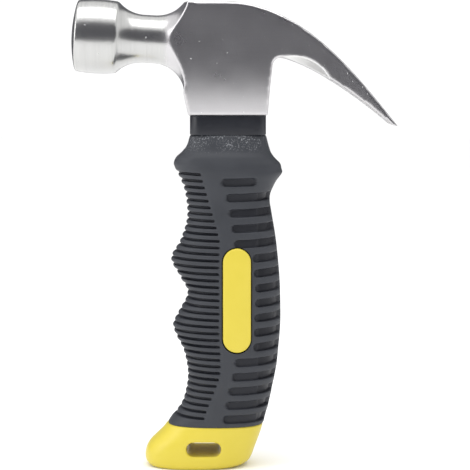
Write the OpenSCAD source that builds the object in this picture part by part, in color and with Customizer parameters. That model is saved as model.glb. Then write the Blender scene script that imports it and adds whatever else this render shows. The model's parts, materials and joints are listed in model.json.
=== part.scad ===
// Stubby claw hammer: a forged steel head bonded to a fibreglass core, with a two-colour moulded handle.
// X runs from the striking face to the claws, Y from side to side and Z up the handle.
// The origin is on the floor that the butt stands on, under the middle of the head's length.
// Heights in the head are measured up from its underside, and lengths from the axis of its eye.

/* [Head] */
// Height of the head at the eye, from its underside to its top
eye_h = 39.6; // [36:0.1:48]
// Width of the head across its flat cheeks
cheek_w = 20; // [19:0.5:24]
// Length of the socket's underside along X
socket_l = 27.4; // [26:0.1:32]
// Flat on the upper edges of the cheeks
cheek_edge = 0.8; // [0.4:0.1:2]

/* [Poll] */
// Reach of the striking face's crown from the eye axis
face_reach = 54.6; // [50:0.1:66]
// Radius of the poll at its widest
poll_r = 13; // [11:0.1:15]
// Length of the poll, from the neck's shoulder to the chamfer
poll_l = 13.7; // [11:0.1:16]
// Width of the chamfer round the striking face
face_chamfer = 1.2; // [0.8:0.1:2]
// Height of the striking face's crown
face_crown = 1.5; // [0.5:0.1:2]
// Radius of the neck at its thinnest
neck_r = 8.4; // [7:0.1:9]
// Radius of the neck's hollow curve on its poll side
neck_curve = 12.5; // [11.5:0.1:14]
// Length of the straight part at the neck's thinnest
neck_flat = 3.9; // [2:0.1:5]
// Radius of the neck's hollow curve on its cheek side
cheek_curve = 11.5; // [10:0.1:14]
// Radius of the fillet where the neck meets the front of the cheeks
front_fillet = 8; // [6:0.1:9]
// Height of the poll's axis above the underside
poll_h = 26.7; // [24:0.1:30]
// Upward tilt of the poll towards the striking face, in degrees
poll_tilt = 3; // [0:0.5:4]

/* [Claws] */
// Reach of the claw tips from the eye axis
claw_reach = 58.9; // [54:0.1:70]
// How far the tips hang below the head's underside
claw_drop = 3.8; // [0:0.1:6]
// Width across both claws at the tips
claw_tip_w = 15.6; // [14:0.1:18]
// Width of the nail slot at the tips
slot_tip_w = 8; // [6:0.1:9]
// Width of the nail slot at its throat
slot_throat_w = 2.2; // [1.6:0.1:3]
// Length of the nail slot along the claws
slot_l = 33; // [26:0.5:36]
// Radius, at the cheeks, of the hollow ground under each side of the claw root
relief_r = 14.5; // [12:0.1:15]

/* [Core and eye] */
// Length of the fibreglass core's section along X
core_l = 18; // [15:0.1:19]
// Thickness of the core's section along Y
core_w = 10; // [8:0.1:10.5]
// Thickness of the epoxy round the core in the eye
epoxy_t = 1.25; // [0.8:0.05:1.5]
// Depth of the wider pocket at the top of the eye
pocket_h = 4.5; // [4:0.1:5.5]
// Thickness of the cap that closes the eye
cap_t = 3; // [2.6:0.1:3.4]

/* [Handle] */
// Height of the butt below the grip
butt_h = 14.8; // [14:0.1:20]
// Height of the rubber grip
grip_h = 100.4; // [84:0.1:122]
// Height of the collar between grip and head
collar_h = 6.7; // [5:0.1:9]
// Distance from the eye axis to the bottom of the finger hollows
hollow_x = 14.1; // [13.8:0.1:17]
// Height of the ridges between the fingers
ridge = 5.5; // [3:0.1:6]
// Distance from the eye axis to the grip's waist at the palm side
waist_x = 14.6; // [14.2:0.1:18]
// How far the palm side swells out beyond the waist
belly = 3.7; // [2:0.1:5]
// Width of the grip along Y at its middle
grip_w = 26; // [25:0.1:31]
// Wall of the hard plastic jacket round the core
jacket_wall = 1.6; // [1.2:0.1:2]

/* [Grip pattern] */
// Spacing of the fine grooves at the finger side
groove_pitch = 2.265; // [2:0.005:2.8]
// Width of a fine groove
groove_w = 0.85; // [0.6:0.05:1.1]
// Spacing of the broad slots at the butt end
slot_pitch = 4.83; // [4.5:0.01:6]
// How much wider each space between slots is than the one below it
slot_spread = 0.032; // [0:0.001:0.05]
// Height of a broad slot
slot_w = 2.9; // [2.4:0.1:3.4]
// Depth of the grooves and slots
tread = 1.2; // [0.8:0.1:1.5]

/* [Inlay] */
// Length of the inlay in each side of the grip
inlay_l = 35.7; // [30:0.1:42]
// Width of the inlay
inlay_w = 9.6; // [8:0.1:11]
// How far the inlay stands proud of the rubber
inlay_proud = 0.3; // [0.1:0.1:0.6]
// Gap round the inlay in its window
inlay_gap = 0.4; // [0.3:0.05:0.6]

/* [Hanging hole] */
// Length of the hanging hole
hang_l = 13.6; // [10:0.1:16]
// Height of the hanging hole
hang_w = 6.6; // [5:0.1:7.2]

/* [Hidden] */
$fn = 64;
steps = 14;           // straight pieces in a curved edge of the head's outline
around = 24;          // sides of the handle's section
glue = 0.05;          // bond line between bonded pieces
slip = 0.1;           // clearance where one piece slides over another
cut = 1;              // how far a cutting shape runs past what it cuts

// Levels up the handle.
grip_top = butt_h + grip_h;
head_z = grip_top + collar_h;
eye_x = (face_reach - claw_reach) / 2;   // the head's length is centred on the origin

// Head: the poll is turned about its own axis, which crosses the neck at neck_x.
face_end = face_reach - face_crown;
shoulder = face_end - face_chamfer / 2 - poll_l;
shoulder_r = poll_r - 0.45;
neck_x = shoulder - sqrt(neck_curve ^ 2 - (neck_r + neck_curve - shoulder_r) ^ 2);
flare = 70;                              // slope at which the neck's curve passes into its fillet, in degrees
flare_x = neck_x - neck_flat;
fillet_x = flare_x - (cheek_curve - front_fillet) * sin(flare);
fillet_r = neck_r + cheek_curve - (cheek_curve - front_fillet) * cos(flare);
front_x = fillet_x - front_fillet;       // the front of the cheeks, tangent to the fillet
front_foot = [(neck_x - front_x) * cos(poll_tilt) - fillet_r * sin(poll_tilt) - neck_x,
              poll_h - (neck_x - front_x) * sin(poll_tilt) - fillet_r * cos(poll_tilt)];
crown_r = ((poll_r - face_chamfer) ^ 2 + face_crown ^ 2) / (2 * face_crown);
barrel_r = (poll_l / 2) ^ 2 / (2 * (poll_r - shoulder_r));

// Claws: an outer and an inner curve, each a cubic through four points.
crotch_r = 3.3;
crotch = [socket_l / 2 + 1.6 + crotch_r, eye_h - 22.8];
claw_tip = [claw_reach, -claw_drop];
outer_curve = [[-2, eye_h], [0.43 * claw_reach, eye_h], claw_tip + [-15.2, 18.9], claw_tip];
heel = claw_tip + [-2, 0.4];
root = crotch + crotch_r * [cos(70), sin(70)];
inner_curve = [root, root + [10, -2.9], heel + [-13, 11.2], heel];
claw_slope = 42;                         // mean fall of the claws below the horizontal
slot_mid = claw_tip + [-6, 3];           // a point in the middle of the claws' thickness near the tips

// Core, eye and jacket: each outer size follows from the one inside it.
eye_l = core_l + 2 * epoxy_t;
eye_w = core_w + 2 * epoxy_t;
pocket_rim = 1.05;                       // step between the eye and its top pocket
spigot_h = 2;                            // the collar's tongue in the mouth of the eye
core_z = butt_h + 1.4;
jacket_l = core_l + 2 * jacket_wall;
jacket_w = core_w + 2 * jacket_wall;
collar_l = socket_l - 1;
collar_w = cheek_w - 2;
collar_r = 4;

// Inlays: each lies on a pad of the jacket and looks out of a window in the grip.
inlay_x = 3.1;
inlay_z = butt_h + 0.436 * grip_h;
inlay_t = 2.8;
pad_lap = 1.2;                           // how far the rubber laps over the pad round the window
pad_y = grip_w / 2 + inlay_proud - inlay_t;
peg_r = 1.25;
peg_l = 2;
peg_span = inlay_l - inlay_w - 6;

// Hanging hole.
hang_x = -8.3;
hang_z = 0.486 * butt_h;
hang_flare = 0.8;                        // rounding of the hole's rim
butt_side = 0.46 * grip_w;               // half the butt's thickness beside the hole

// Handle outlines, as [share of the grip's height, share of the ridge or belly].
finger_side = [[0, 1.26], [0.04, 0.62], [0.082, 0.24], [0.165, 0], [0.249, 0.28], [0.291, 0.68],
               [0.333, 0.94], [0.374, 0.62], [0.448, 0.02], [0.5, 0.49], [0.562, 1.06], [0.626, 0.49],
               [0.709, 0.05], [0.793, 0.17], [0.835, 0.43], [0.891, 0.87], [0.919, 0.75], [0.94, 0.36],
               [0.961, 0.06]];
palm_side = [[0, -0.6], [0.06, -0.11], [0.124, 0.27], [0.186, 0.62], [0.249, 0.81], [0.333, 1], [0.416, 1],
             [0.5, 0.92], [0.626, 0.59], [0.729, 0.14], [0.765, 0], [0.792, 0.09], [0.831, 0.6],
             [0.858, 1.16], [0.876, 1.1], [0.896, 0.96], [0.919, 0.45], [0.94, 0.08]];
// Half thickness, as [share of the grip's height, share of half the grip's width].
flank = [[0, 0.925], [0.099, 0.94], [0.198, 0.985], [0.257, 1], [0.594, 1], [0.693, 0.955], [0.765, 0.91],
         [0.835, 0.945], [0.884, 0.965], [0.921, 0.89], [0.945, 0.79]];
// Butt outlines, as [share of the butt's height, distance from the eye axis].
toe = [[-0.04, 25.4], [0, 26.6], [0.07, 28], [0.2, 28.8], [0.4, 28.5], [0.56, 27.2], [0.7, 25.1], [0.85, 22.8]];
heel_side = [[-0.04, 0.6], [0, 3.4], [0.07, 6.2], [0.17, 7.8], [0.42, 9.3], [0.7, 10.9]];
butt_flank = [[-0.04, 0.74], [0, 0.8], [0.07, 0.865], [0.17, 0.9], [0.5, 0.925]];

// Value of a smooth curve through the points p at z, with its slopes taken from each point's neighbours.
function piece(p, z, i = 0) = i >= len(p) - 2 || z < p[i + 1][0] ? i : piece(p, z, i + 1);
function slope(p, i) =
    let (a = max(i - 1, 0), b = min(i + 1, len(p) - 1))
    (p[b][1] - p[a][1]) / (p[b][0] - p[a][0]);
function track(p, z) =
    let (i = piece(p, z), h = p[i + 1][0] - p[i][0], t = (z - p[i][0]) / h)
    (2 * t ^ 3 - 3 * t ^ 2 + 1) * p[i][1] + (t ^ 3 - 2 * t ^ 2 + t) * slope(p, i) * h
    + (3 * t ^ 2 - 2 * t ^ 3) * p[i + 1][1] + (t ^ 3 - t ^ 2) * slope(p, i + 1) * h;
function cubic(c, t) =
    (1 - t) ^ 3 * c[0] + 3 * t * (1 - t) ^ 2 * c[1] + 3 * t ^ 2 * (1 - t) * c[2] + t ^ 3 * c[3];
function run(c) = [for (i = [0:steps]) cubic(c, i / steps)];
function at_height(p, base, height) = [for (q = p) [base + q[0] * height, q[1]]];

// The handle's outlines against height, in millimetres.
finger_x = concat([for (q = toe) [q[0] * butt_h, q[1]]],
                  [for (q = finger_side) [butt_h + q[0] * grip_h, hollow_x + q[1] * ridge]],
                  [[grip_top, collar_l / 2]]);
palm_x = concat([for (q = heel_side) [q[0] * butt_h, q[1]]],
                [for (q = palm_side) [butt_h + q[0] * grip_h, waist_x + q[1] * belly]],
                [[grip_top, collar_l / 2]]);
flank_y = concat([for (q = butt_flank) [q[0] * butt_h, q[1] * grip_w / 2]],
                 [for (q = flank) [butt_h + q[0] * grip_h, q[1] * grip_w / 2]],
                 [[grip_top, collar_w / 2]]);
// Squareness of the section: an oval along the grip, nearly a rounded box at the collar.
squareness = [[0, 2.5], [0.9 * grip_top, 2.5], [grip_top, 3.6]];

// One ring of the handle's section at height z, taken in by inset.
function sided(v, e) = sign(v) * abs(v) ^ (2 / e);
function ring(z, inset = 0) =
    let (f = track(finger_x, z) - inset, p = track(palm_x, z) - inset, y = track(flank_y, z) - inset,
         e = track(squareness, z))
    [for (k = [0:around - 1]) let (a = 360 * k / around)
        [(p - f) / 2 + (p + f) / 2 * sided(cos(a), e), y * sided(sin(a), e), z]];

// A closed solid through rings at the heights in levels.
module loft(levels, inset = 0) {
    n = len(levels);
    sides = [for (j = [0:n - 2], k = [0:around - 1]) let (k2 = (k + 1) % around)
        for (t = [[[j, k], [j, k2], [j + 1, k2]], [[j, k], [j + 1, k2], [j + 1, k]]])
            [for (v = t) v[0] * around + v[1]]];
    polyhedron(points = [for (z = levels) each ring(z, inset)],
               faces = concat([for (s = sides) [s[2], s[1], s[0]]],
                              [[for (k = [0:around - 1]) k]],
                              [[for (k = [around - 1:-1:0]) (n - 1) * around + k]]));
}

// A slot shape in the XY plane, its long side along X, centred on the origin.
module slot_shape(l, w) {
    for (s = [-1, 1]) translate([s * (l - w) / 2, 0]) circle(d = w);
    square([l - w, w], center = true);
}

// A bar of slot section standing on z.
module bar(l, w, z, h) {
    translate([0, 0, z]) linear_extrude(h) slot_shape(l, w);
}

// Moves what is drawn about the eye axis into the part's frame.
module on_eye() {
    translate([eye_x, 0, 0]) children();
}

// Stands a shape drawn in XY up in the XZ plane, with its thickness centred on Y = 0.
module upright(t) {
    rotate([90, 0, 0]) linear_extrude(t, center = true) children();
}

// ---- Head ----

// Turns a profile drawn as [radius, reach] about the poll's tilted axis.
module turned() {
    translate([-neck_x, 0, head_z + poll_h]) rotate([0, poll_tilt, 0]) translate([neck_x, 0, 0])
        rotate([0, -90, 0]) rotate_extrude() children();
}

module poll() {
    turned() intersection() {
        polygon([[0, shoulder - cut], [shoulder_r - cut, shoulder - cut], [shoulder_r, shoulder],
                 [poll_r, shoulder], [poll_r, face_end - face_chamfer / 2], [poll_r - face_chamfer, face_end],
                 [poll_r - face_chamfer, face_reach], [0, face_reach]]);
        translate([0, face_reach - crown_r]) circle(crown_r, $fn = 200);
        translate([poll_r - barrel_r, shoulder + poll_l / 2]) circle(barrel_r, $fn = 200);
    }
}

// The neck's profile: hollow curves each side of its waist, the cheek side ending in a tighter fillet.
module neck_profile() {
    wide = fillet_r;
    inside = 2;          // how far it runs on into the cheeks
    difference() {
        translate([0, front_x - inside]) square([wide, shoulder - front_x + inside]);
        intersection() {
            translate([neck_r + neck_curve, neck_x]) circle(neck_curve, $fn = 128);
            translate([0, neck_x]) square([2 * wide, neck_curve]);
        }
        translate([neck_r, flare_x - 0.01]) square([wide, neck_flat + 0.02]);
        intersection() {
            translate([neck_r + cheek_curve, flare_x]) circle(cheek_curve, $fn = 160);
            translate([0, fillet_x - front_fillet * sin(flare)])
                square([2 * wide, flare_x - fillet_x + front_fillet * sin(flare)]);
        }
        translate([fillet_r, fillet_x]) circle(front_fillet, $fn = 96);
    }
}

// The neck flares into the cheeks, which cut it off flat at both sides and on top.
module neck() {
    intersection() {
        turned() neck_profile();
        union() {
            translate([-neck_x, -cheek_w / 2, head_z]) cube([neck_x, cheek_w, eye_h]);
            translate([-face_reach, -2 * poll_r, head_z])
                cube([face_reach - neck_x, 4 * poll_r, eye_h + poll_r]);
        }
    }
}

// Side outline of the socket, body and claws, as [reach, height above the underside].
module head_outline() {
    polygon(concat([[-socket_l / 2, 0], front_foot, [-front_x, poll_h], [-front_x, eye_h]],
                   run(outer_curve),
                   [for (i = [steps:-1:0]) cubic(inner_curve, i / steps)],
                   [for (a = [80:10:180]) crotch + crotch_r * [cos(a), sin(a)]],
                   [[socket_l / 2 + 0.8, eye_h - 30], [socket_l / 2, 0]]));
}

// The width of the head seen from above: straight cheeks, then claws that narrow to the tips.
module head_plan() {
    w = cheek_w / 2;
    t = claw_tip_w / 2;
    polygon([[-front_x - 1, -w], [crotch.x, -w], [claw_reach + cut, -t], [claw_reach + cut, t], [crotch.x, w],
             [-front_x - 1, w]]);
}

// The cheeks' section seen from the striking face, with its upper edges taken off.
module cheek_section() {
    w = cheek_w / 2;
    polygon([[-w, -claw_drop - cut], [w, -claw_drop - cut], [w, eye_h - cheek_edge], [w - cheek_edge, eye_h],
             [cheek_edge - w, eye_h], [-w, eye_h - cheek_edge]]);
}

module body_and_claws() {
    translate([0, 0, head_z]) intersection() {
        upright(cheek_w + 2 * cut) head_outline();
        translate([0, 0, -claw_drop - cut]) linear_extrude(eye_h + claw_drop + 2 * cut) head_plan();
        translate([-face_reach, 0, 0]) rotate([90, 0, 90])
            linear_extrude(face_reach + claw_reach + cut) cheek_section();
    }
}

module eye() {
    bar(eye_l, eye_w, head_z - cut, eye_h + 2 * cut);
    bar(eye_l + 2 * pocket_rim, eye_w + 2 * pocket_rim, head_z + eye_h - pocket_h, pocket_h + cut);
}

// A tapering slot square to the claws, round at its throat and open at the tips.
module nail_slot() {
    translate([slot_mid.x, 0, head_z + slot_mid.y]) rotate([0, claw_slope, 0])
        translate([0, 0, -20]) linear_extrude(40) {
            translate([-slot_l + 8, 0]) circle(d = slot_throat_w);
            polygon([[-slot_l + 8, -slot_throat_w / 2], [8, -slot_tip_w / 2], [12, -slot_tip_w / 2],
                     [12, slot_tip_w / 2], [8, slot_tip_w / 2], [-slot_l + 8, slot_throat_w / 2]]);
        }
}

// A hollow ground under each side of the claw root. It starts at the crotch, is highest at the cheeks and
// runs out before the middle.
module root_relief() {
    wheel = crotch + [4.4, -10.7];
    fall = 0.64;
    depth = 8;
    for (s = [-1, 1])
        intersection() {
            translate([wheel.x, s * (cheek_w / 2 + cut), head_z + wheel.y]) rotate([s * 90, 0, 0])
                cylinder(r1 = relief_r + cut * fall, r2 = relief_r + (cut - depth) * fall, h = depth, $fn = 96);
            translate([crotch.x, s > 0 ? 0 : -cheek_w, head_z]) cube([2 * relief_r, cheek_w, eye_h]);
        }
}

module head() {
    color([0.62, 0.62, 0.63]) on_eye() difference() {
        union() {
            poll();
            neck();
            body_and_claws();
        }
        eye();
        nail_slot();
        root_relief();
    }
}

// ---- Bond and core ----

// The cap's top follows the head's outline.
module eye_cap() {
    rim = pocket_rim - slip;
    color([0.08, 0.08, 0.09]) on_eye() intersection() {
        bar(eye_l + 2 * rim, eye_w + 2 * rim, head_z + eye_h - cap_t, 2 * cap_t);
        translate([0, 0, head_z]) upright(cheek_w) head_outline();
    }
}

// Resin that fills the eye round the core, with a lip in the top pocket that locks the head on.
module eye_epoxy() {
    foot = head_z + spigot_h + glue;
    top = head_z + eye_h - cap_t - glue;
    rim = pocket_rim - glue;
    color([0.55, 0.42, 0.2]) on_eye() difference() {
        union() {
            bar(eye_l - 2 * glue, eye_w - 2 * glue, foot, top - foot);
            bar(eye_l + 2 * rim, eye_w + 2 * rim, head_z + eye_h - pocket_h + glue, pocket_h - cap_t - 2 * glue);
        }
        bar(core_l + 2 * glue, core_w + 2 * glue, foot - cut, top - foot + 2 * cut);
    }
}

module core_rod() {
    color([0.85, 0.8, 0.6]) on_eye() bar(core_l, core_w, core_z, head_z + eye_h - cap_t - glue - core_z);
}

// ---- Handle ----

module collar_section() {
    for (sx = [-1, 1], sy = [-1, 1])
        translate([sx * (collar_l / 2 - collar_r), sy * (collar_w / 2 - collar_r)]) circle(collar_r);
    square([collar_l, collar_w - 2 * collar_r], center = true);
    square([collar_l - 2 * collar_r, collar_w], center = true);
}

module neck_collar() {
    color([0.09, 0.09, 0.1]) on_eye() difference() {
        union() {
            translate([0, 0, grip_top]) linear_extrude(collar_h) collar_section();
            bar(eye_l - 2 * slip, eye_w - 2 * slip, grip_top, collar_h + spigot_h);
        }
        bar(core_l + 2 * slip, core_w + 2 * slip, grip_top - cut, collar_h + spigot_h + 2 * cut);
    }
}

// The upright slot shape of an inlay, grown by g, reaching y to both sides of the middle plane.
module inlay_block(g, y) {
    translate([inlay_x, 0, inlay_z]) rotate([90, 90, 0])
        linear_extrude(2 * y, center = true) slot_shape(inlay_l + 2 * g, inlay_w + 2 * g);
}

// The hanging hole, with its rim opened out at both sides in two steps.
module hanging_hole() {
    wide = grip_w + 2 * cut;
    translate([hang_x, 0, hang_z]) {
        upright(wide) slot_shape(hang_l - 2 * hang_flare, hang_w - 2 * hang_flare);
        for (s = [-1, 1], k = [[0.8, 0.7], [0.35, 1.2]])
            translate([0, s * (butt_side - k[0] + wide / 2), 0])
                upright(wide) slot_shape(hang_l - 2 * hang_flare + k[1], hang_w - 2 * hang_flare + k[1]);
    }
}

module handle_jacket() {
    color([0.9, 0.8, 0.2]) on_eye() difference() {
        union() {
            loft([for (s = [-0.04, 0, 0.035, 0.07, 0.13, 0.2, 0.3, 0.4, 0.5, 0.6, 0.7, 0.85, 1]) s * butt_h]);
            bar(jacket_l, jacket_w, butt_h - cut, grip_h + cut);
            inlay_block(inlay_gap + pad_lap, pad_y);
        }
        translate([-2 * hollow_x - 10, -grip_w, -5]) cube([4 * hollow_x, 2 * grip_w, 5]);
        bar(core_l + 2 * glue, core_w + 2 * glue, core_z - glue, grip_h + butt_h);
        hanging_hole();
        for (s = [-1, 1])
            translate([inlay_x, 0, inlay_z + s * peg_span / 2]) rotate([90, 0, 0])
                difference() {
                    cylinder(r = peg_r + slip, h = 4 * pad_y, center = true);
                    cylinder(r = 2 * peg_r, h = 2 * (pad_y - peg_l - slip), center = true);
                }
    }
}

// Where the fine grooves end, and where the broad slots begin, as [share of the grip's height, x].
groove_ends = [[0, -9], [0.04, -8], [0.178, -2.7], [0.258, -2.7], [0.287, -3.1], [0.604, -3.1], [0.644, -2.9],
               [0.881, -10], [1, -14]];
slot_starts = [[0, -2.2], [0.109, 0], [0.248, 3], [0.253, 3.2], [0.267, 8.9], [0.456, 9.7], [0.6, 8.5],
               [0.61, 2.6], [0.802, -1], [0.861, -3], [1, -4]];
function level_of(z) = (z - butt_h) / grip_h;
function stepped(p, s) =
    let (i = piece(p, s), t = (s - p[i][0]) / (p[i + 1][0] - p[i][0]))
    p[i][1] + t * (p[i + 1][1] - p[i][1]);

groove_z0 = butt_h + 2.9;
slot_z0 = butt_h + 2.75;
groove_slant = 2;      // rise of the grooves towards the fingers, in degrees
slot_slant = 2;        // rise of the slots towards the palm, in degrees
spine_w = 3;           // smooth spine along the palm side, between the slots of the two flanks
grooves = floor((0.866 * grip_h - 2.9) / groove_pitch);
slots = floor(0.82 * grip_h / (slot_pitch + slot_spread * 0.5 * 0.82 * grip_h / slot_pitch));

// The fine grooves seen from the side. They run round the finger side.
module groove_pattern() {
    for (i = [0:grooves]) {
        z = groove_z0 + i * groove_pitch;
        translate([stepped(groove_ends, level_of(z)), z]) rotate(-groove_slant)
            translate([-40, -groove_w / 2]) square([40, groove_w]);
    }
}

// The broad slots seen from the side. They stop short of the spine at the palm side, the top one sooner.
module slot_pattern() {
    for (i = [0:slots]) {
        z = slot_z0 + i * slot_pitch + i ^ 2 * slot_spread / 2;
        x0 = stepped(slot_starts, level_of(z)) + slot_w / 2;
        reach = i == slots ? 9.5 : 40;
        translate([x0, z]) rotate(i == slots ? 0 : slot_slant)
            hull() for (x = [0, reach]) translate([x, 0]) circle(d = slot_w, $fn = 8);
    }
}

// A rubber sleeve: the grip's full shape with the tread cut through its skin down to a smaller one.
module grip() {
    skin = [for (i = [0:26]) butt_h + grip_h * i / 26];
    floors = [for (i = [0:16]) butt_h + grip_h * i / 16];
    color([0.13, 0.13, 0.14]) on_eye() difference() {
        union() {
            loft(floors, tread);
            difference() {
                loft(skin);
                upright(2 * grip_w) groove_pattern();
                for (s = [-1, 1])
                    translate([0, s * (grip_w + spine_w / 2), 0]) upright(2 * grip_w) slot_pattern();
            }
        }
        bar(jacket_l + 2 * glue, jacket_w + 2 * glue, butt_h - cut, grip_h + 2 * cut, $fn = 32);
        inlay_block(inlay_gap + pad_lap + glue, pad_y + glue, $fn = 32);
        inlay_block(inlay_gap, grip_w, $fn = 32);
    }
}

module inlay(s) {
    color([0.92, 0.84, 0.3]) on_eye() {
        intersection() {
            difference() {
                inlay_block(0, pad_y + inlay_t);
                inlay_block(cut, pad_y);
            }
            translate([-grip_w, s > 0 ? 0 : -grip_w, 0]) cube([2 * grip_w, grip_w, grip_top]);
        }
        for (k = [-1, 1])
            translate([inlay_x, s * (pad_y - peg_l), inlay_z + k * peg_span / 2]) rotate([-s * 90, 0, 0])
                cylinder(r = peg_r, h = peg_l + cut);
    }
}

head();
eye_cap();
eye_epoxy();
core_rod();
neck_collar();
handle_jacket();
grip();
inlay(1);  // inlay_left
inlay(-1);  // inlay_right
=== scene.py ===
import math

import bpy
import numpy as np
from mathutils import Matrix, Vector
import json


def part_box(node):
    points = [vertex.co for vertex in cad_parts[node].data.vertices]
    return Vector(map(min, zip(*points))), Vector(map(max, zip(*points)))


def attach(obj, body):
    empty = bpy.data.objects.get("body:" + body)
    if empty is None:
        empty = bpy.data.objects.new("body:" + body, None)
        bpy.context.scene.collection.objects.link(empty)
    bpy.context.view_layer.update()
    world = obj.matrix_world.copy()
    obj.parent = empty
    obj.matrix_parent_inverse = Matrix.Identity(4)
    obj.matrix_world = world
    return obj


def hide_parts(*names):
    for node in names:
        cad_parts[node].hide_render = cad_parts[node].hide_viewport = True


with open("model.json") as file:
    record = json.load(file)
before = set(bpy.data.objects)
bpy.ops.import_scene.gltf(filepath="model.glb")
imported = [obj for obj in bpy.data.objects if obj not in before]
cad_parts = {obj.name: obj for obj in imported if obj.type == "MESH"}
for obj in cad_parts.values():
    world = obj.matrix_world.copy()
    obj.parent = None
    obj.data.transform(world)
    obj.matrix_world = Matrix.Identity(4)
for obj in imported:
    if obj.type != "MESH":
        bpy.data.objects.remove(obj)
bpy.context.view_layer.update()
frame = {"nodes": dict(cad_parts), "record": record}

mm = 0.001
core_low, core_high = [Vector(corner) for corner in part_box("core_rod")]
axis_x = (core_low.x + core_high.x) / 2

camera_distance = 600 * mm
camera_height = 137 * mm
camera_aside = 2.45 * mm

lens = bpy.data.cameras.new("side_view")
lens.sensor_width = 36
lens.lens = 131.3
lens.shift_y = -0.347
lens.clip_start = 0.01
camera = bpy.data.objects.new("side_view", lens)
camera.location = (axis_x + camera_aside, -camera_distance, camera_height)
camera.rotation_euler = (math.pi / 2, 0, 0)
bpy.context.collection.objects.link(camera)
bpy.context.scene.camera = camera
bpy.context.scene.view_settings.view_transform = "Standard"

# ---------------------------------------------------------------- Table and studio light
# A plain white table top runs off to a white surround, lit softly from above and from one side.
# Dark cards before and behind the tool show only in its reflections and give the steel its dark band.
bpy.ops.object.select_all(action="DESELECT")
bpy.ops.mesh.primitive_plane_add(size=6)
table = bpy.context.object
table.name = "table_top"
table_paint = bpy.data.materials.new("table_white")
table_paint.use_nodes = True
table_paint.node_tree.nodes["Principled BSDF"].inputs["Base Color"].default_value = (0.93, 0.93, 0.93, 1)
table_paint.node_tree.nodes["Principled BSDF"].inputs["Roughness"].default_value = 0.9
table.data.materials.append(table_paint)

surround = bpy.data.worlds.new("white_surround")
surround.use_nodes = True
surround.node_tree.nodes["Background"].inputs["Color"].default_value = (1, 1, 1, 1)
surround.node_tree.nodes["Background"].inputs["Strength"].default_value = 1.08
bpy.context.scene.world = surround


def soft_light(name, place, aim, width, height, watts):
    lamp = bpy.data.lights.new(name, "AREA")
    lamp.shape = "RECTANGLE"
    lamp.size = width
    lamp.size_y = height
    lamp.energy = watts
    holder = bpy.data.objects.new(name, lamp)
    holder.location = place
    holder.rotation_euler = (Vector(aim) - Vector(place)).to_track_quat("-Z", "Y").to_euler()
    holder.visible_camera = False
    bpy.context.collection.objects.link(holder)


soft_light("overhead", (0.0, -0.15, 0.9), (0, 0, 0.1), 0.9, 0.5, 4)
soft_light("left_panel", (-0.8, -0.35, 0.35), (0, 0, 0.1), 0.4, 0.6, 2)

card_paint = bpy.data.materials.new("card_grey")
card_paint.use_nodes = True
card_paint.node_tree.nodes["Principled BSDF"].inputs["Base Color"].default_value = (0.085, 0.085, 0.095, 1)
card_paint.node_tree.nodes["Principled BSDF"].inputs["Roughness"].default_value = 1
card_length = 5
card_height = 0.63
card_distance = 0.5
card_middle = 0.325
for side in (-1, 1):
    bpy.ops.object.select_all(action="DESELECT")
    bpy.ops.mesh.primitive_plane_add(size=1)
    card = bpy.context.object
    card.name = "dark_card"
    bpy.ops.transform.resize(value=(card_length, card_height, 1))
    bpy.ops.transform.rotate(value=math.pi / 2, orient_axis="X", center_override=(0, 0, 0))
    bpy.ops.transform.translate(value=(0, side * card_distance, card_middle))
    card.data.materials.append(card_paint)
    card.visible_camera = False
    card.visible_shadow = False
    card.visible_diffuse = False

# ---------------------------------------------------------------- Core rod
# A pultruded bar of glass fibre in resin runs from the butt to the top of the head.
# It is hidden from end to end, so it only gets its straw colour and its long fibres.
class Wire:
    """A value in a material. Python's own signs join it to others through Math nodes."""

    def __init__(self, tree, socket):
        self.tree = tree
        self.socket = socket

    def node(self, kind, settings, sockets, output=0):
        made = self.tree.nodes.new(kind)
        for name, value in settings.items():
            setattr(made, name, value)
        for name, value in sockets.items():
            if isinstance(value, Wire):
                self.tree.links.new(value.socket, made.inputs[name])
            else:
                made.inputs[name].default_value = value
        return Wire(self.tree, made.outputs[output])

    def maths(self, operation, first, second):
        return self.node("ShaderNodeMath", {"operation": operation}, {0: first, 1: second})

    def __add__(self, other):
        return self.maths("ADD", self, other)

    __radd__ = __add__

    def __sub__(self, other):
        return self.maths("SUBTRACT", self, other)

    def __rsub__(self, other):
        return self.maths("SUBTRACT", other, self)

    def __mul__(self, other):
        return self.maths("MULTIPLY", self, other)

    __rmul__ = __mul__


def new_finish(name, **constants):
    """A material with the shader's own values set, and the wire of its Object coordinates."""
    made = bpy.data.materials.new(name)
    made.use_nodes = True
    tree = made.node_tree
    for socket, value in constants.items():
        tree.nodes["Principled BSDF"].inputs[socket.replace("_", " ")].default_value = value
    return made, Wire(tree, tree.nodes.new("ShaderNodeTexCoord").outputs["Object"])


def feed(made, socket, wire):
    made.node_tree.links.new(wire.socket, made.node_tree.nodes["Principled BSDF"].inputs[socket])


def grain(place, size, stretch=(1, 1, 1), detail=3, turn=(0, 0, 0)):
    """Noise from 0 to 1, its features about the given size in metres, longer along the stretched axes."""
    laid = place.node("ShaderNodeMapping", {}, {"Vector": place, "Rotation": turn,
                                                "Scale": [1 / (size * s) for s in stretch]})
    return place.node("ShaderNodeTexNoise", {}, {"Vector": laid, "Scale": 1.0, "Detail": detail}, "Fac")


def ramp(value, low, high, start=0.0, end=1.0):
    return value.node("ShaderNodeMapRange", {"interpolation_type": "SMOOTHSTEP"},
                      {"Value": value, "From Min": low, "From Max": high, "To Min": start, "To Max": end})


def blend(share, first, second):
    """Goes from the first colour to the second as the share goes from 0 to 1."""
    return share.node("ShaderNodeMix", {"data_type": "RGBA"}, {0: share, 6: first, 7: second}, 2)


def bumped(height):
    """Raises the surface by the height, in mm."""
    return height.node("ShaderNodeBump", {}, {"Height": height, "Distance": mm, "Strength": 1.0}, "Normal")


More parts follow.
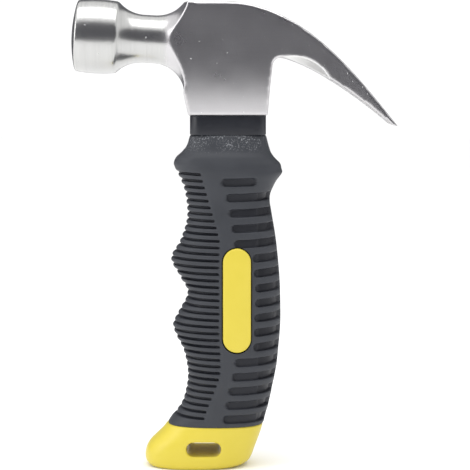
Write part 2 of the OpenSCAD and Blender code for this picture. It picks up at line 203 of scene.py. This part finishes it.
rod_finish, rod_place = new_finish("glass_fibre_rod", Roughness=0.4)
fibres = grain(rod_place, 0.4 * mm, (1, 1, 60))
feed(rod_finish, "Base Color", blend(fibres, (0.72, 0.62, 0.36, 1), (0.88, 0.82, 0.6, 1)))
feed(rod_finish, "Normal", bumped(0.02 * fibres))
frame["nodes"]["core_rod"].data.materials.clear()
frame["nodes"]["core_rod"].data.materials.append(rod_finish)

# ---------------------------------------------------------------- Handle jacket
# The first shot of the mould: hard yellow plastic round the core, seen only as the butt.
# A slot through the butt hangs the hammer up, and its rim is rounded on both sides.
grip_low, grip_high = [Vector(corner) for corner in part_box("grip")]
seam = grip_low.z
neck_z = grip_high.z
grip_length = neck_z - seam
half_width = (grip_high.y - grip_low.y) / 2

# Distance from the handle's axis, in mm, against height: below the seam as a share of the butt's height,
# above it as a share of the grip's length. The flank's values are shares of half the grip's width.
toe = [(-0.04, 25.4), (0, 26.6), (0.07, 28), (0.2, 28.8), (0.4, 28.5), (0.56, 27.2), (0.7, 25.1),
       (0.85, 22.8)]
heel = [(-0.04, 0.6), (0, 3.4), (0.07, 6.2), (0.17, 7.8), (0.42, 9.3), (0.7, 10.9)]
butt_flank = [(-0.04, 0.74), (0, 0.8), (0.07, 0.865), (0.17, 0.9), (0.5, 0.925)]
finger_side = [(0, 21.03), (0.04, 17.51), (0.082, 15.42), (0.165, 14.1), (0.249, 15.64), (0.291, 17.84),
               (0.333, 19.27), (0.374, 17.51), (0.448, 14.21), (0.5, 16.79), (0.562, 19.93),
               (0.626, 16.79), (0.709, 14.38), (0.793, 15.04), (0.835, 16.46), (0.891, 18.88),
               (0.919, 18.23), (0.94, 16.08), (0.961, 14.43), (1, 13.2)]
palm_side = [(0, 12.38), (0.06, 14.19), (0.124, 15.6), (0.186, 16.89), (0.249, 17.6), (0.333, 18.3),
             (0.416, 18.3), (0.5, 18), (0.626, 16.78), (0.729, 15.12), (0.765, 14.6), (0.792, 14.93),
             (0.831, 16.82), (0.858, 18.89), (0.876, 18.67), (0.896, 18.15), (0.919, 16.27), (0.94, 14.9),
             (1, 13.2)]
flank = [(0, 0.925), (0.099, 0.94), (0.198, 0.985), (0.257, 1), (0.594, 1), (0.693, 0.955), (0.765, 0.91),
         (0.835, 0.945), (0.884, 0.965), (0.921, 0.89), (0.945, 0.79), (1, 0.692)]


def along_handle(butt_part, grip_part, scale):
    """Joins two lists into heights and values in metres."""
    low = [(share * seam, value * scale) for share, value in butt_part]
    return low + [(seam + share * grip_length, value * scale) for share, value in grip_part]


finger_line = along_handle(toe, finger_side, mm)
palm_line = along_handle(heel, palm_side, mm)
flank_line = along_handle(butt_flank, flank, half_width)


def follow(line, heights):
    """A smooth curve through the line's points, read at the heights."""
    at = np.array([point[0] for point in line])
    value = np.array([point[1] for point in line])
    before = np.maximum(np.arange(len(at)) - 1, 0)
    after = np.minimum(np.arange(len(at)) + 1, len(at) - 1)
    slope = (value[after] - value[before]) / (at[after] - at[before])
    i = np.clip(np.searchsorted(at, heights, side="right") - 1, 0, len(at) - 2)
    gap = at[i + 1] - at[i]
    t = (heights - at[i]) / gap
    return ((2 * t**3 - 3 * t**2 + 1) * value[i] + (t**3 - 2 * t**2 + t) * slope[i] * gap
            + (3 * t**2 - 2 * t**3) * value[i + 1] + (t**3 - t**2) * slope[i + 1] * gap)


def handle_skin(angle, height, inset):
    """The place on the handle's rounded-box section at each angle and height, drawn in by the inset."""
    finger = follow(finger_line, height) - inset
    palm = follow(palm_line, height) - inset
    side = follow(flank_line, height) - inset
    squareness = np.interp(height, [0.9 * neck_z, neck_z], [2.5, 3.6])
    across = np.sign(np.cos(angle)) * np.abs(np.cos(angle)) ** (2 / squareness)
    out = np.sign(np.sin(angle)) * np.abs(np.sin(angle)) ** (2 / squareness)
    return axis_x + (palm - finger) / 2 + (palm + finger) / 2 * across, side * out


def pick(piece, kind, wanted):
    """Enters edit mode with only the wanted edges or faces selected."""
    bpy.ops.object.select_all(action="DESELECT")
    piece.select_set(True)
    bpy.context.view_layer.objects.active = piece
    bpy.ops.object.mode_set(mode="EDIT")
    bpy.ops.mesh.select_all(action="DESELECT")
    bpy.ops.mesh.select_mode(type=kind)
    bpy.ops.object.mode_set(mode="OBJECT")
    for part in piece.data.edges if kind == "EDGE" else piece.data.polygons:
        part.select = wanted(part)
    bpy.ops.object.mode_set(mode="EDIT")


def edge_run(piece, edge):
    """How far an edge runs along X, Y and Z."""
    a, b = [piece.data.vertices[v].co for v in edge.vertices]
    return [abs(d) for d in a - b]


def turned_blank(name, columns, rings, cuts):
    """A unit cylinder cut into rings, ready to be shaped: the object, and each vertex's angle and ring."""
    bpy.ops.object.select_all(action="DESELECT")
    bpy.ops.mesh.primitive_cylinder_add(vertices=columns, radius=1, depth=1, location=(0, 0, 0.5))
    blank = bpy.context.object
    blank.name = name
    bpy.ops.object.transform_apply(location=True, rotation=True, scale=True)
    for number in cuts:
        pick(blank, "EDGE", lambda edge: edge_run(blank, edge)[2] > 1e-5)
        bpy.ops.mesh.subdivide(number_cuts=number)
        bpy.ops.object.mode_set(mode="OBJECT")
    flat = np.empty(len(blank.data.vertices) * 3)
    blank.data.vertices.foreach_get("co", flat)
    flat = flat.reshape(-1, 3)
    ring_of = np.clip(np.round(flat[:, 2] * rings), 0, rings).astype(int)
    return blank, np.arctan2(flat[:, 1], flat[:, 0]), ring_of


def shape_blank(blank, x, y, z):
    blank.data.vertices.foreach_set("co", np.stack([x, y, z], 1).ravel())
    blank.data.update()


def make_active(piece):
    bpy.ops.object.select_all(action="DESELECT")
    piece.select_set(True)
    bpy.context.view_layer.objects.active = piece


def smooth_all(piece, crease=None):
    make_active(piece)
    bpy.ops.object.shade_smooth()
    if crease:
        bpy.ops.object.shade_smooth_by_angle(angle=math.radians(crease))


def apply_all(piece):
    make_active(piece)
    for modifier in list(piece.modifiers):
        bpy.ops.object.modifier_apply(modifier=modifier.name)


def block(name, length, depth, height):
    bpy.ops.object.select_all(action="DESELECT")
    bpy.ops.mesh.primitive_cube_add(size=1)
    made = bpy.context.object
    made.name = name
    bpy.ops.transform.resize(value=(length, depth, height))
    bpy.ops.object.transform_apply(location=True, rotation=True, scale=True)
    return made


def slot_block(name, length, width, depth, segments=16):
    """A block with two round ends, long in X, its depth along Y, centred on the origin."""
    made = block(name, length, depth, width)
    pick(made, "EDGE", lambda edge: edge_run(made, edge)[1] > depth / 2)
    bpy.ops.mesh.bevel(offset=width * 0.4999, segments=segments, affect="EDGES")
    bpy.ops.mesh.select_all(action="SELECT")
    bpy.ops.mesh.remove_doubles(threshold=0.005 * mm)
    bpy.ops.object.mode_set(mode="OBJECT")
    return made


def move_to(piece, x, y, z):
    piece.location = (x, y, z)
    make_active(piece)
    bpy.ops.object.transform_apply(location=True, rotation=True, scale=True)


def cut_with(piece, cutter):
    cutting = piece.modifiers.new("cut", "BOOLEAN")
    cutting.operation = "DIFFERENCE"
    cutting.solver = "EXACT"
    cutting.object = cutter
    apply_all(piece)
    bpy.data.objects.remove(cutter)


def worn_edges(piece, voxel, passes):
    """Rounds every edge of a piece by building it again from small cubes and smoothing it."""
    rebuilt = piece.modifiers.new("voxels", "REMESH")
    rebuilt.mode = "VOXEL"
    rebuilt.voxel_size = voxel
    rounding = piece.modifiers.new("rounding", "SMOOTH")
    rounding.factor = 0.5
    rounding.iterations = passes
    apply_all(piece)
    smooth_all(piece)


# The rings' heights and how far each is drawn in, in mm: a rounded foot, an eased seam, then the sleeve.
levels = [0.0, 0.02, 0.3, 0.8, 1.6, 2.6] + list(np.linspace(3.6, seam / mm - 0.9, 22))
drawn_in = [0.4] + [0.0] * (len(levels) - 1)
levels += [seam / mm - lower for lower in (0.5, 0.2, 0.05, 0, 0)] + [seam / mm + 4, neck_z / mm - 1]
drawn_in += [0.0, 0.1, 0.3, 0.6, 4, 4, 4]
jacket, turn, ring = turned_blank("handle_jacket_moulded", 128, len(levels) - 1, [len(levels) - 2])
jacket_z = np.array(levels)[ring] * mm
jacket_x, jacket_y = handle_skin(turn, np.minimum(jacket_z, seam), np.array(drawn_in)[ring] * mm)
sleeve = ring >= len(levels) - 3
sleeve_half_length = 10.4 * mm
sleeve_half_width = 6.4 * mm
jacket_x[sleeve] = axis_x + sleeve_half_length * np.cos(turn[sleeve])
jacket_y[sleeve] = sleeve_half_width * np.sin(turn[sleeve])
shape_blank(jacket, jacket_x, jacket_y, jacket_z)

hang_box = [box for box in frame["record"]["physics"]["openings"] if box["name"] == "hang_hole"][0]["box_m"]
hang_x = (hang_box[0][0] + hang_box[1][0]) / 2
hang_z = (hang_box[0][2] + hang_box[1][2]) / 2
hole_length = 12 * mm
hole_height = 5 * mm
hang_cutter = slot_block("hang_cutter", hole_length, hole_height, 40 * mm)
move_to(hang_cutter, hang_x, 0, hang_z)
cut_with(jacket, hang_cutter)
# The rim's cutter tapers inwards from the mouth to just inside the hole.
mouth = (13.4, 6.4)
throat = (11.6, 4.6)
for side in (-1, 1):
    rim_cutter = slot_block("rim_cutter", mouth[0] * mm, mouth[1] * mm, 4 * mm, 20)
    pick(rim_cutter, "FACE", lambda face: face.normal.y * side < -0.9)
    bpy.ops.transform.resize(value=(throat[0] / mouth[0], 1, throat[1] / mouth[1]))
    bpy.ops.object.mode_set(mode="OBJECT")
    move_to(rim_cutter, hang_x, side * (0.9 * half_width + 1.2 * mm), hang_z)
    cut_with(jacket, rim_cutter)
worn_edges(jacket, voxel=0.36 * mm, passes=10)

yellow, yellow_place = new_finish("yellow_plastic", IOR=1.5)
cloud = grain(yellow_place, 9 * mm, detail=2)
pores = grain(yellow_place, 0.35 * mm, detail=3)
rubs = ramp(grain(yellow_place, 1.1 * mm, (1, 1, 6), 4, (0, 0.6, 0.2)), 0.6, 0.72)
feed(yellow, "Base Color", blend(cloud, (0.60, 0.487, 0.036, 1), (0.66, 0.537, 0.058, 1)))
feed(yellow, "Roughness", 0.32 + 0.1 * cloud + 0.12 * rubs)
feed(yellow, "Normal", bumped(0.012 * pores + 0.004 * rubs))
jacket.data.materials.append(yellow)
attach(jacket, "root")
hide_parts("handle_jacket")

# ---------------------------------------------------------------- Grip
# The second shot: black rubber over the jacket, shaped for three fingers, a thumb and the palm.
# Fine grooves run round the finger side and broad slots cross each flank, with a smooth spine at the palm.
groove_half = 0.42 * mm
groove_pitch = 2.265 * mm
groove_heights = seam + 2.9 * mm + groove_pitch * np.arange(38)
# Where the grooves end and the slots start, in mm from the axis, against the share of the grip's length.
groove_ends = [(0, -9), (0.04, -8), (0.178, -2.7), (0.258, -2.7), (0.287, -3.1), (0.604, -3.1),
               (0.644, -2.9), (0.881, -10), (1, -14)]
slot_half = 1.42 * mm
slot_heights = seam + (2.75 + 4.83 * np.arange(17) + 0.016 * np.arange(17) ** 2) * mm
slot_starts = [(0, -2.2), (0.109, 0), (0.248, 3), (0.253, 3.2), (0.267, 8.9), (0.456, 9.7), (0.6, 8.5),
               (0.61, 2.6), (0.802, -1), (0.861, -3), (1, -4)]


def ease(value, low, high):
    t = np.clip((value - low) / (high - low), 0, 1)
    return t * t * (3 - 2 * t)


def closer_rings(count, centres, half, spread):
    """Ring heights along the grip, set closer together near the edges of the grooves."""
    fine = np.linspace(seam, neck_z, 40001)
    edge = np.min(np.abs(np.abs(fine[:, None] - centres[None, :]) - half), axis=1)
    weight = 1 + 2.2 * np.exp(-(edge / spread) ** 2)
    total = np.concatenate([[0], np.cumsum((weight[1:] + weight[:-1]) / 2)])
    return np.interp(np.linspace(0, total[-1], count), total, fine)


def stop_at(table, height):
    share = (height - seam) / grip_length
    return np.interp(share, [point[0] for point in table], [point[1] for point in table]) * mm


ring_count = 506
grip, turn, ring = turned_blank("grip_rubber", 168, ring_count, [22, 21])
# The columns stand closer together on the flanks, where the ends of the grooves are.
turn = turn + 0.2 * np.sin(2 * turn)
front_rings = closer_rings(ring_count + 1, groove_heights, groove_half, 0.25 * mm)
back_rings = closer_rings(ring_count + 1, slot_heights, slot_half, 0.4 * mm)
toward_palm = ease(np.cos(turn), -0.25, 0.25)
level = front_rings[ring] * (1 - toward_palm) + back_rings[ring] * toward_palm
plain_x, plain_y = handle_skin(turn, level, 0)
offset_x = plain_x - axis_x
on_flank = ease(np.abs(plain_y), 1.5 * mm, 8 * mm)

# The tread lines rise a little towards both edges of the grip.
rise = (offset_x + 1 * mm) ** 2 / (450 * mm)
room = np.minimum(ease(level, seam, seam + 3 * mm), 1 - ease(level, neck_z - 14 * mm, neck_z - 7 * mm))

depth = np.zeros(len(level))
# The floor values darken the floors of the grooves and slots in the rubber's colour: partly dirt, partly
# painted shade in the recesses.
floor_dirt_and_shade = np.zeros(len(level))
# A groove is deeper on the flanks than round the front, and its edges are worn down.
for z in groove_heights:
    past_end = np.maximum(offset_x - (stop_at(groove_ends, z) - groove_half), 0)
    away = np.hypot(past_end, level - z)
    groove = (0.42 + 0.55 * on_flank) * mm * (1 - ease(away, 0.18 * mm, 0.58 * mm))
    shoulder = (0.3 - 0.12 * on_flank) * mm * (1 - ease(away, 0.3 * mm, 1.15 * mm))
    depth = np.maximum(depth, groove + shoulder)
    floor_dirt_and_shade = np.maximum(floor_dirt_and_shade, 1 - ease(away, 0.3 * mm, 0.5 * mm))
# The slots are deeper where they turn round the palm's edge, and stop at the spine.
spine = np.where(offset_x > 0, ease(np.abs(plain_y), 0.8 * mm, 1.5 * mm), 1)
for z in slot_heights:
    start = stop_at(slot_starts, z) + slot_half
    along = np.maximum(start - offset_x, 0)
    if z == slot_heights[-1]:
        along = np.maximum(along, offset_x - (start + 9.5 * mm))
    away = np.hypot(along, level - z)
    outer = ease(offset_x, 10.7 * mm, 11.5 * mm)
    slot = (0.95 + 0.4 * outer) * mm * (1 - ease(away, 1.12 * mm, 1.58 * mm))
    shoulder = 0.1 * mm * (1 - ease(away, 1.4 * mm, 2.1 * mm))
    depth = np.maximum(depth, spine * (slot + shoulder))
    # Painted shade, with some dirt: each slot's floor is darkened, a little more where it turns round the
    # palm's edge.
    dark = ease(spine, 0, 0.3) * (1 - ease(away, 1.2 * mm, 1.5 * mm)) * (0.85 + 0.15 * outer)
    floor_dirt_and_shade = np.maximum(floor_dirt_and_shade, dark)
# Both ends of the grip are drawn in a little.
low_lip = 0.25 * mm * (1 - ease(level, seam, seam + 0.5 * mm))
high_lip = 0.3 * mm * ease(level, neck_z - 0.6 * mm, neck_z)
lip = low_lip + high_lip
shaped_x, shaped_y = handle_skin(turn, level, depth + lip)
shape_blank(grip, shaped_x, shaped_y, level + rise * room)
# The floors' darkening, partly dirt and partly painted shade, is kept on the points for the rubber's colour.
floor_dirt_and_shade_layer = grip.data.attributes.new("tread_floor", "FLOAT", "POINT")
floor_dirt_and_shade_layer.data.foreach_set("value", floor_dirt_and_shade)

inlay_low, inlay_high = [Vector(corner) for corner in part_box("inlay_right")]
inlay_x = (inlay_low.x + inlay_high.x) / 2
inlay_z = (inlay_low.z + inlay_high.z) / 2
inlay_length = inlay_high.z - inlay_low.z
inlay_width = inlay_high.x - inlay_low.x
# The gap left all round each inlay.
inlay_gap = 0.4 * mm
for side in (-1, 1):
    window = slot_block("window_cutter", inlay_length + 2 * inlay_gap, inlay_width + 2 * inlay_gap, 6 * mm, 20)
    window.rotation_euler = (0, math.pi / 2, 0)
    move_to(window, inlay_x, side * (half_width + 0.7 * mm), inlay_z)
    cut_with(grip, window)
smooth_all(grip, 50)

rubber, rubber_place = new_finish("black_rubber", Specular_IOR_Level=0.4)
floor_dirt_and_shade_value = rubber_place.node("ShaderNodeAttribute", {"attribute_name": "tread_floor"}, {}, "Fac")
haze = grain(rubber_place, 7 * mm, detail=3)
speck = ramp(grain(rubber_place, 0.45 * mm, detail=3), 0.52, 0.7)
rubber_up = rubber_place.node("ShaderNodeSeparateXYZ", {}, {0: rubber_place}, "Z")
patch = ramp(grain(rubber_place, 4 * mm, detail=2), 0.3, 0.5)
dusty = ramp(rubber_up, neck_z - 7 * mm, neck_z - 3 * mm) * speck * patch
skin = blend(haze, (0.030, 0.033, 0.040, 1), (0.043, 0.046, 0.055, 1))
# The groove and slot floors are darkened here: partly dirt, partly painted shade in the recesses.
skin_dirt_and_shade = blend(floor_dirt_and_shade_value, skin, (0.008, 0.009, 0.015, 1))
feed(rubber, "Base Color", blend(dusty * 0.65, skin_dirt_and_shade, (0.30, 0.31, 0.33, 1)))
feed(rubber, "Roughness", 0.5 + 0.12 * haze - 0.05 * floor_dirt_and_shade_value)
feed(rubber, "Normal", bumped(0.015 * grain(rubber_place, 0.25 * mm, detail=2) + 0.05 * dusty))
grip.data.materials.append(rubber)
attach(grip, "root")
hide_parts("grip")

# ---------------------------------------------------------------- Inlays
# Yellow pads of the same plastic as the butt, pegged in the windows of the grip, one in each flank.
# Their edges are rounded, and a narrow dark gap runs all round them.
pad_thickness = 2.8 * mm
pad_proud = 0.3 * mm
for side, node in ((1, "inlay_left"), (-1, "inlay_right")):
    pad = slot_block(node + "_pad", inlay_length, inlay_width, pad_thickness, 24)
    pick(pad, "FACE", lambda face: abs(face.normal.y) > 0.9)
    bpy.ops.mesh.bevel(offset=0.7 * mm, segments=5, affect="EDGES")
    bpy.ops.object.mode_set(mode="OBJECT")
    pad.rotation_euler = (0, math.pi / 2, 0)
    move_to(pad, inlay_x, side * (half_width + pad_proud - pad_thickness / 2), inlay_z)
    smooth_all(pad, 40)
    pad.data.materials.append(yellow)
    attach(pad, "root")
    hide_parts(node)

# ---------------------------------------------------------------- Neck collar
# A smooth black plastic ring that closes the gap between the grip and the head's socket.
# It is moulded separately, and its tongue is bonded in the mouth of the eye.
collar_low, collar_high = [Vector(corner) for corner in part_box("neck_collar")]
tongue = 2 * mm
corner_radius = 4 * mm
socket_z = collar_high.z - tongue
collar_height = socket_z - collar_low.z
collar = block("neck_collar_ring", collar_high.x - collar_low.x, collar_high.y - collar_low.y, collar_height)
pick(collar, "EDGE", lambda edge: edge_run(collar, edge)[2] > collar_height / 2)
bpy.ops.mesh.bevel(offset=corner_radius, segments=12, affect="EDGES")
bpy.ops.object.mode_set(mode="OBJECT")
pick(collar, "FACE", lambda face: abs(face.normal.z) > 0.9)
bpy.ops.mesh.bevel(offset=0.3 * mm, segments=3, affect="EDGES")
bpy.ops.object.mode_set(mode="OBJECT")
move_to(collar, axis_x, 0, collar_low.z + collar_height / 2)
smooth_all(collar, 40)
black_plastic, black_place = new_finish("black_plastic")
smears = grain(black_place, 4 * mm, (1, 1, 0.5), 3)
feed(black_plastic, "Base Color", blend(smears, (0.009, 0.010, 0.015, 1), (0.017, 0.019, 0.026, 1)))
feed(black_plastic, "Roughness", 0.28 + 0.18 * smears)
feed(black_plastic, "Normal", bumped(0.01 * grain(black_place, 0.6 * mm)))
collar.data.materials.append(black_plastic)
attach(collar, "root")
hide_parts("neck_collar")

# ---------------------------------------------------------------- Head
# One steel forging: poll, neck, socket and two claws, ground and tumbled to a satin finish.
# It is bonded on the core, with no wedge or pin.
def copy_of(node, name):
    """A copy of a frame node with a closed mesh of its own."""
    source = frame["nodes"][node]
    made = source.copy()
    made.data = source.data.copy()
    made.name = name
    made.parent = None
    made.matrix_world = source.matrix_world.copy()
    bpy.context.collection.objects.link(made)
    make_active(made)
    bpy.ops.object.mode_set(mode="EDIT")
    bpy.ops.mesh.select_all(action="SELECT")
    bpy.ops.mesh.remove_doubles(threshold=0.001 * mm)
    bpy.ops.object.mode_set(mode="OBJECT")
    made.data.materials.clear()
    return made


head = copy_of("head", "head_forging")
worn_edges(head, voxel=0.385 * mm, passes=12)

# The hollow ground under each claw root lies on a cone, and keeps the marks of the wheel. Its steel is painted
# lighter: partly its ground finish, partly a painted highlight.
flat = np.empty(len(head.data.vertices) * 3)
head.data.vertices.foreach_get("co", flat)
flat = flat.reshape(-1, 3)
wheel_x = axis_x + 23 * mm
wheel_z = socket_z + 6.1 * mm
wheel_radius = 14.5 * mm
wheel_taper = 0.64
half_cheek = 10 * mm
cone = wheel_radius - wheel_taper * (half_cheek - np.abs(flat[:, 1]))
off_cone = np.abs(np.hypot(flat[:, 0] - wheel_x, flat[:, 2] - wheel_z) - cone)
past_crotch = ease(flat[:, 0], wheel_x - 4.6 * mm, wheel_x - 3.6 * mm)
facing = past_crotch * ease(flat[:, 2], wheel_z, wheel_z + 2 * mm)
hollow_finish_and_sheen = head.data.attributes.new("ground_hollow", "FLOAT", "POINT")
hollow_finish_and_sheen.data.foreach_set("value", (1 - ease(off_cone, 0.25 * mm, 0.5 * mm)) * facing)

steel, steel_place = new_finish("satin_steel", Metallic=1.0)
apart = steel_place.node("ShaderNodeSeparateXYZ", {}, {0: steel_place}, "X")
up = steel_place.node("ShaderNodeSeparateXYZ", {}, {0: steel_place}, "Z")
hollow_and_sheen = steel_place.node("ShaderNodeAttribute", {"attribute_name": "ground_hollow"}, {}, "Fac")
on_poll = 1 - ramp(apart, axis_x - 23 * mm, axis_x - 20 * mm)
turning = grain(steel_place, 0.4 * mm, (1, 60, 60), 4)
brushing = grain(steel_place, 0.3 * mm, (30, 1, 1), 4)
blasted = grain(steel_place, 0.5 * mm, detail=4)
hatching = grain(steel_place, 0.3 * mm, (1, 1, 14), 3, (0, 0.7, 0))
clouds = grain(steel_place, 8 * mm, detail=3)
nicks = ramp(grain(steel_place, 0.9 * mm, (1, 1, 1.6), 2), 0.735, 0.77)
tone = 0.45 * clouds + 0.3 * blasted + 0.25 * brushing
plain = blend(tone, (0.50, 0.49, 0.50, 1), (0.66, 0.65, 0.66, 1))
polished = blend(turning, (0.46, 0.46, 0.455, 1), (0.61, 0.61, 0.60, 1))
# The hollows are blended towards near-white: partly their ground finish, partly a painted highlight.
body = blend(0.8 * hollow_and_sheen, blend(on_poll, plain, polished), (0.85, 0.85, 0.84, 1))
feed(steel, "Base Color", blend(nicks, body, (0.9, 0.9, 0.9, 1)))
feed(steel, "Roughness", 0.25 + 0.08 * clouds - 0.04 * on_poll + 0.16 * hollow_and_sheen + 0.2 * nicks)
# The lower cheeks are shaded as if they drew in slightly towards the collar.
draw_height = 20 * mm
low = ((socket_z + draw_height) - up) * (1 / draw_height)
draw = low.maths("MAXIMUM", low, 0.0) * (1 - ramp(apart, axis_x + 15 * mm, axis_x + 19 * mm))
fine = 0.012 * on_poll * turning + (1 - on_poll) * (0.008 * blasted + 0.004 * brushing)
feed(steel, "Normal", bumped(fine + 0.06 * hollow_and_sheen * hatching - 0.05 * nicks - 1.75 * draw * draw))
head.data.materials.append(steel)
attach(head, "root")
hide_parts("head")

# ---------------------------------------------------------------- Eye
# Amber resin fills the eye round the core, and a thin black cap closes it flush with the top.
# The resin is hidden between the steel, the core and the cap.
resin, resin_place = new_finish("cast_resin", Roughness=0.25)
feed(resin, "Base Color", blend(grain(resin_place, 3 * mm), (0.42, 0.3, 0.12, 1), (0.55, 0.42, 0.2, 1)))
frame["nodes"]["eye_epoxy"].data.materials.clear()
frame["nodes"]["eye_epoxy"].data.materials.append(resin)

cap = copy_of("eye_cap", "eye_cap_plug")
worn_edges(cap, voxel=0.15 * mm, passes=6)
cap.data.materials.append(black_plastic)
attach(cap, "root")
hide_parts("eye_cap")

import json
